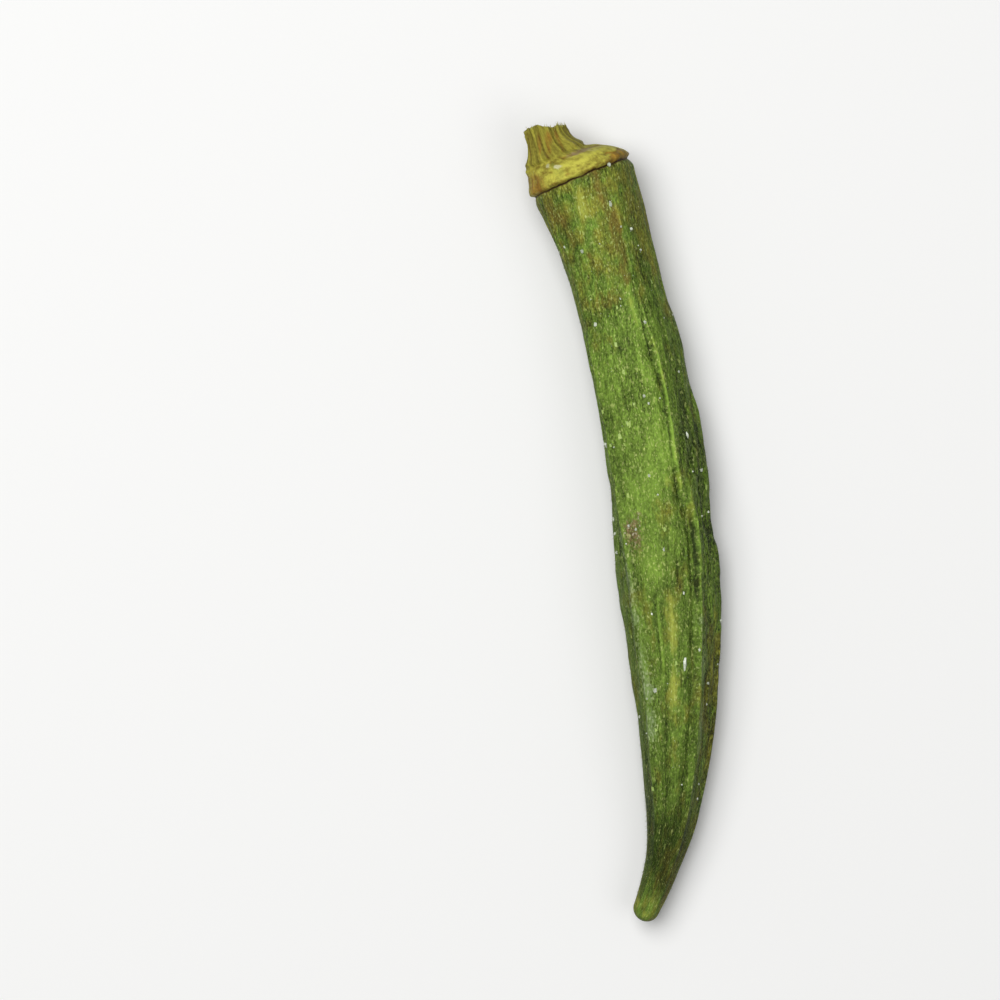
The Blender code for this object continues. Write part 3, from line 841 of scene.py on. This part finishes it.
def maths(tree, operation, *values):
    """The output of a Math node."""
    return add(tree, "ShaderNodeMath", enumerate(values), operation=operation).outputs[0]


def summed(tree, parts, start=0.0):
    """The start with each part's value added, times its share."""
    total = start
    for value, share in parts:
        total = maths(tree, "MULTIPLY_ADD", value, share, total)
    return total


def clamped(tree, value):
    """The value held between 0 and 1."""
    return add(tree, "ShaderNodeClamp", {0: value}).outputs[0]


def blended(tree, share, first, second):
    """The first colour, with a share of the second mixed in."""
    inputs = {0: share, 6: first, 7: second}
    return add(tree, "ShaderNodeMix", inputs, data_type="RGBA").outputs[2]


def mask(tree, name):
    """A mask painted on the skin."""
    return add(tree, "ShaderNodeAttribute", attribute_name=name).outputs["Fac"]


def grain_group():
    """Noise from 0 to 1 in cells of a length along Y and a breadth across it.

    It is spread by the contrast round the middle: 0.5 + contrast x (noise - middle).
    """
    group = bpy.data.node_groups.new("grain", "ShaderNodeTree")
    group.interface.new_socket("Place", in_out="INPUT", socket_type="NodeSocketVector")
    for name in ("Length", "Breadth", "Contrast", "Middle"):
        group.interface.new_socket(name, in_out="INPUT", socket_type="NodeSocketFloat")
    group.interface.new_socket("Grain", in_out="OUTPUT", socket_type="NodeSocketFloat")
    given = group.nodes.new("NodeGroupInput").outputs
    cell = add(group, "ShaderNodeCombineXYZ", {0: given["Breadth"], 1: given["Length"], 2: given["Breadth"]})
    place = add(group, "ShaderNodeVectorMath", {0: given["Place"], 1: cell.outputs[0]}, operation="DIVIDE")
    noise = add(group, "ShaderNodeTexNoise", {"Vector": place.outputs[0], "Scale": 1.0, "Detail": 3.0})
    spread = maths(group, "SUBTRACT", noise.outputs["Fac"], given["Middle"])
    spread = maths(group, "MULTIPLY", spread, given["Contrast"])
    level = add(group, "ShaderNodeMath", {0: spread, 1: 0.5}, operation="ADD", use_clamp=True).outputs[0]
    add(group, "NodeGroupOutput", {"Grain": level})
    return group


def grain(tree, place, length, breadth, contrast, centre=0.5):
    """The grain group's output at its own size and contrast."""
    inputs = {"Place": place, "Length": length, "Breadth": breadth, "Contrast": contrast, "Middle": centre}
    return add(tree, "ShaderNodeGroup", inputs, node_tree=grain_noise).outputs["Grain"]


def covered(tree, share, noise, crispness):
    """A mask turned into patches: where it is 0.5, the noise leaves about half of the skin covered."""
    level = maths(tree, "MULTIPLY_ADD", share, 1.25, maths(tree, "SUBTRACT", noise, 1.15))
    return clamped(tree, maths(tree, "MULTIPLY", level, crispness))


def finish_of(name, roughness, specular):
    """A material with its plain numbers on the shader, and its node tree."""
    material = bpy.data.materials.new(name)
    material.use_nodes = True
    shader = material.node_tree.nodes["Principled BSDF"]
    shader.inputs["Roughness"].default_value = roughness
    shader.inputs["Specular IOR Level"].default_value = specular
    return material, material.node_tree, shader


# Tints of the dried pod
DEEP_GREEN = (0.02, 0.034, 0.004, 1)
LEAF_GREEN = (0.265, 0.43, 0.058, 1)
DARK_OLIVE = (0.036, 0.036, 0.005, 1)
OLIVE = (0.37, 0.385, 0.052, 1)
STRAW = (0.45, 0.54, 0.095, 1)
UMBER = (0.045, 0.028, 0.006, 1)
RUST = (0.27, 0.205, 0.038, 1)
PALE_FLECK = (0.56, 0.64, 0.2, 1)
WHITE_FLECK = (0.42, 0.5, 0.27, 1)
WAX = (0.64, 0.62, 0.33, 1)
COLLAR_YELLOW = (0.6, 0.57, 0.085, 1)
COLLAR_OCHRE = (0.23, 0.175, 0.025, 1)
COLLAR_GREEN = (0.29, 0.33, 0.06, 1)
STUB_STRAW = (0.47, 0.44, 0.06, 1)
TORN_STRAW = (0.5, 0.5, 0.15, 1)
STUB_OLIVE = (0.12, 0.092, 0.014, 1)
SCAR_BROWN = (0.03, 0.012, 0.004, 1)
BURNT = (0.11, 0.05, 0.009, 1)
TOASTED = (0.48, 0.29, 0.042, 1)
ROSY_BROWN = (0.055, 0.04, 0.014, 1)
ROSY_TAN = (0.27, 0.205, 0.085, 1)
ROSY_FOLD = (0.31, 0.225, 0.115, 1)
ROSY_PALE = (0.45, 0.41, 0.28, 1)
BLOOM = (0.23, 0.31, 0.13, 1)
SALT_WHITE = (0.74, 0.78, 0.68, 1)
SALT_SHADE = (0.46, 0.52, 0.36, 1)
HAIR_STRAW = (0.42, 0.47, 0.16, 1)
HAIR_OLIVE = (0.25, 0.3, 0.09, 1)
FLAKE_GREEN = (0.46, 0.6, 0.14, 1)
FLAKE_OLIVE = (0.28, 0.42, 0.09, 1)

# Grains of the skin: the length and the breadth of their cells in millimetres, their contrast,
# and their middle where it isn't 0.5.
SKIN_GRAINS = {
    "fibre": (0.7, 0.17, 3.2),
    "strand": (3.6, 0.45, 3.0),
    "blotch": (2.0, 1.3, 2.8),
    "speckle": (0.26, 0.22, 3.4),
    "tinge": (2.2, 1.3, 2.8),
    "glint": (0.55, 0.17, 6.0, 0.60),
    "pit": (0.45, 0.22, 5.0, 0.36),
    "scab": (0.35, 0.30, 7.0, 0.62),
    "scale": (0.70, 0.42, 14.0, 0.665),
    "lump": (0.5, 0.9, 3.0),
    "stub_fibre": (4.5, 0.7, 3.2),
    "pith": (0.9, 0.9, 3.5, 0.42),
}
# Sums of grains, each with its share.
GRAIN_SUMS = {
    "lightness": (
        ("fibre", 0.18), ("strand", 0.25), ("blotch", 0.22), ("speckle", 0.31), ("glint", 0.50),
        ("pit", 0.09),
    ),
    "uneven": (("strand", 0.4), ("tinge", 0.6)),
    "motley": (("fibre", 0.4), ("speckle", 0.6)),
    "scabbed": (("speckle", 0.5), ("blotch", 0.5)),
    "stub_streak": (("speckle", 0.25), ("stub_fibre", 0.75)),
    "relief": (("fibre", 0.6), ("strand", 0.5), ("speckle", 0.6)),
}
# The lightness is drawn towards its mean where the skin is calm, and then lowered.
MEAN_LIGHTNESS = 0.64
LIGHTNESS_DROP = 0.395
BUMP_HEIGHT = 0.00007


def skin_level(tree, grains):
    """How light the skin is, from 0 to 1: its grains, calmer on some faces, with light and shade painted
    from its relief, its light patches and highlights, and its shade.
    """
    calm, shade = mask(tree, "calm"), mask(tree, "shade")
    level = maths(tree, "MULTIPLY", grains["lightness"], maths(tree, "SUBTRACT", 1.0, calm))
    raised = ((calm, MEAN_LIGHTNESS), (mask(tree, "relief_light_and_shade"), 0.45), (mask(tree, "light_patches_and_highlights"), 0.45))
    level = maths(tree, "SUBTRACT", summed(tree, raised, level), LIGHTNESS_DROP)
    level = maths(tree, "MULTIPLY", level, maths(tree, "MULTIPLY_ADD", shade, -0.55, 1.0))
    return clamped(tree, summed(tree, [(shade, -0.15)], level))


def pale_flecks(tree, place, grains):
    """Where pale flecks lie, partly dry specks and partly painted glints: fine ones, more of them where it
    is lighter or in bloom and fewer in the shade, and larger scales.
    """
    lit = summed(tree, ((grains["blotch"], 0.7), (mask(tree, "light_patches_and_highlights"), 0.6)), 0.2)
    lit = maths(tree, "MULTIPLY", lit, maths(tree, "MULTIPLY_ADD", mask(tree, "shade"), -0.9, 1.1))
    sparse = maths(tree, "MULTIPLY_ADD", mask(tree, "bloom"), -0.08, 0.64)
    fine = maths(tree, "MULTIPLY", grain(tree, place, 0.42, 0.18, 9.0, sparse), lit)
    scales = maths(tree, "MULTIPLY", grains["scale"], 0.50)
    return clamped(tree, maths(tree, "MAXIMUM", fine, scales))


def pod_tint(tree, place, grains, brown_and_crease_shade):
    """Two greens in streaks, gone olive, yellow, brown and rosy in patches, with bloom and pale flecks."""
    level = skin_level(tree, grains)
    bloom = mask(tree, "bloom")
    greens = blended(tree, level, DEEP_GREEN, LEAF_GREEN)
    olives = blended(tree, level, DARK_OLIVE, OLIVE)
    skin = blended(tree, covered(tree, mask(tree, "olive"), grains["tinge"], 1.4), greens, olives)
    straws = blended(tree, level, OLIVE, STRAW)
    skin = blended(tree, covered(tree, mask(tree, "yellow"), grains["uneven"], 1.2), skin, straws)
    rusts = blended(tree, level, UMBER, RUST)
    skin = blended(tree, maths(tree, "MULTIPLY", brown_and_crease_shade, 0.85), skin, rusts)
    roses = blended(tree, grains["motley"], ROSY_BROWN, ROSY_TAN)
    roses = blended(tree, grains["scab"], roses, ROSY_PALE)
    skin = blended(tree, covered(tree, mask(tree, "rosy"), grains["scabbed"], 2.2), skin, roses)
    hazy = covered(tree, bloom, grains["motley"], 1.6)
    skin = blended(tree, maths(tree, "MULTIPLY", hazy, 0.50), skin, BLOOM)
    flecks = pale_flecks(tree, place, grains)
    return blended(tree, flecks, skin, blended(tree, bloom, PALE_FLECK, WHITE_FLECK))


def cap_tint(tree, grains, brown_and_crease_shade):
    """The yellow, lumpy collar and the fibrous stub, brown and wax-pale in places, with painted highlight on
    the lips and painted shade in the folds, and the torn pith.
    """
    # The collar's lumps are painted lighter on its lips and darker in its folds: painted highlight and
    # painted shade.
    parts = ((grains["speckle"], 0.2), (mask(tree, "light_patches_and_highlights"), 0.5), (mask(tree, "shade"), -0.8))
    lumps = clamped(tree, summed(tree, parts, grains["lump"]))
    collar = blended(tree, lumps, COLLAR_OCHRE, COLLAR_YELLOW)
    collar = blended(tree, covered(tree, 0.40, grains["tinge"], 1.4), collar, COLLAR_GREEN)
    stub = blended(tree, grains["stub_streak"], STUB_OLIVE, STUB_STRAW)
    cap = blended(tree, mask(tree, "stub"), collar, stub)
    cap = blended(tree, brown_and_crease_shade, cap, blended(tree, grains["stub_streak"], BURNT, TOASTED))
    # The rosy fold: a rosy tint, partly painted shade in the collar's fold.
    cap = blended(tree, covered(tree, mask(tree, "rosy"), grains["motley"], 1.2), cap, ROSY_FOLD)
    cap = blended(tree, covered(tree, mask(tree, "waxy_and_highlight"), lumps, 1.8), cap, WAX)
    pith = blended(tree, grains["pith"], STUB_OLIVE, TORN_STRAW)
    return blended(tree, clamped(tree, maths(tree, "MULTIPLY", mask(tree, "cut"), 6.0)), cap, pith)


def dried_skin():
    """Matt, fibrous skin: the tints of cap and pod, parted by the scar, with the grains as a fine bump."""
    material, tree, shader = finish_of("dried_okra_skin", roughness=0.55, specular=0.10)
    place = add(tree, "ShaderNodeAttribute", attribute_name="fibre_place").outputs["Vector"]
    grains = {name: grain(tree, place, *size) for name, size in SKIN_GRAINS.items()}
    for name, parts in GRAIN_SUMS.items():
        grains[name] = summed(tree, [(grains[part], share) for part, share in parts])
    # Brown patches and streaks, with the creases and folds painted browner as shade.
    brown_and_crease_shade = covered(tree, mask(tree, "brown"), grains["uneven"], 1.3)
    pod, cap = pod_tint(tree, place, grains, brown_and_crease_shade), cap_tint(tree, grains, brown_and_crease_shade)
    whole = blended(tree, mask(tree, "body"), cap, pod)
    whole = blended(tree, mask(tree, "scar"), whole, SCAR_BROWN)
    join(tree, whole, shader.inputs["Base Color"])
    height = {"Strength": 0.9, "Distance": BUMP_HEIGHT, "Height": grains["relief"]}
    join(tree, add(tree, "ShaderNodeBump", height).outputs[0], shader.inputs["Normal"])
    rough = maths(tree, "MULTIPLY_ADD", grains["speckle"], -0.18, 0.62)
    join(tree, rough, shader.inputs["Roughness"])
    return material


def speckled(name, light, dark, roughness, size, specular=0.5):
    """A finish of two tints, mixed by a grain read from the object's own place."""
    material, tree, shader = finish_of(name, roughness, specular=specular)
    place = add(tree, "ShaderNodeTexCoord").outputs["Object"]
    millimetres = add(tree, "ShaderNodeVectorMath", {0: place, 3: 1 / MM}, operation="SCALE").outputs[0]
    tint = blended(tree, grain(tree, millimetres, size, size, 3.0), dark, light)
    join(tree, tint, shader.inputs["Base Color"])
    return material


# The picture is 1000 pixels square, at 0.11 mm a pixel on the pod's level.
PIXEL = 0.11
FIELD = 1000 * PIXEL
PICTURE_MIDDLE = np.array([-13.25, -34.07, 5.5])
PICTURE_TURN = -7.18
CAMERA_HEIGHT = 650.0
SENSOR = 36.0


def camera():
    """Looks straight down from as far as a product camera stands, turned to the pod's lean."""
    lens = bpy.data.cameras.new("camera")
    lens.sensor_width = SENSOR
    lens.lens = SENSOR * CAMERA_HEIGHT / FIELD
    lens.clip_start = 0.01
    lens.clip_end = 20
    made = linked("camera", lens)
    made.location = Vector((PICTURE_MIDDLE - middle + [0, 0, CAMERA_HEIGHT]) * MM)
    made.rotation_euler = (0, 0, np.radians(PICTURE_TURN))
    bpy.context.scene.camera = made


# Soft lights over the floor: place in metres, size in metres, power in watts.
LIGHTS = (
    ("key_light", (-0.16, 0.18, 0.64), 0.60, 4.2),
    ("fill_light", (0.40, -0.25, 0.70), 0.60, 1.0),
)
FLOOR_SIZE = 1.6
FLOOR_GAP = 0.02
FLOOR_TONE = (0.90, 0.90, 0.89, 1)
SKY_STRENGTH = 0.20


def lights():
    """Two soft lights over the floor, and a weak white sky."""
    for name, place, size, power in LIGHTS:
        light = bpy.data.lights.new(name, "AREA")
        light.shape = "DISK"
        light.size = size
        light.energy = power
        made = linked(name, light)
        made.location = place
        made.rotation_euler = Vector(place).to_track_quat("Z", "Y").to_euler()
        made.visible_camera = False
    world = bpy.data.worlds.new("studio")
    world.use_nodes = True
    sky = world.node_tree.nodes["Background"].inputs
    sky["Color"].default_value = (1, 1, 1, 1)
    sky["Strength"].default_value = SKY_STRENGTH
    bpy.context.scene.world = world
    bpy.context.scene.view_settings.view_transform = "Standard"


def floor():
    """A plain pale floor just below the pod."""
    corners = np.array([(-1, -1, 0), (1, -1, 0), (1, 1, 0), (-1, 1, 0)]) * FLOOR_SIZE / 2 / MM
    mesh = mesh_of("floor", corners - [0, 0, FLOOR_GAP], [np.array([(0, 1, 2, 3)])])
    material, _, shader = finish_of("pale_floor", roughness=0.9, specular=0.1)
    shader.inputs["Base Color"].default_value = FLOOR_TONE
    mesh.materials.append(material)
    made = linked("floor", mesh)
    made.visible_diffuse = False


middle = main_form_middle()
grain_noise = grain_group()
skin = piece("okra_skin_surface", closed_skin("okra_skin_surface"), dried_skin())
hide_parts("okra_pod")
salt = speckled("salt", SALT_WHITE, SALT_SHADE, 0.25, 0.15, specular=0.6)
straw = speckled("hair_straw", HAIR_STRAW, HAIR_OLIVE, 0.5, 0.8)
dry = speckled("dry_flakes", FLAKE_GREEN, FLAKE_OLIVE, 0.5, 0.2)
torn = speckled("torn_fibre", TORN_STRAW, STUB_STRAW, 0.6, 0.3)
piece("salt_grains", salt_grains(), salt, smooth=False)
piece("salt_dust", salt_dust(), salt, smooth=False)
piece("skin_hairs", skin_hairs(), straw)
piece("skin_flakes", skin_flakes(), dry, smooth=False)
piece("stem_splinters", stem_splinters(), torn)
camera()
lights()
floor()
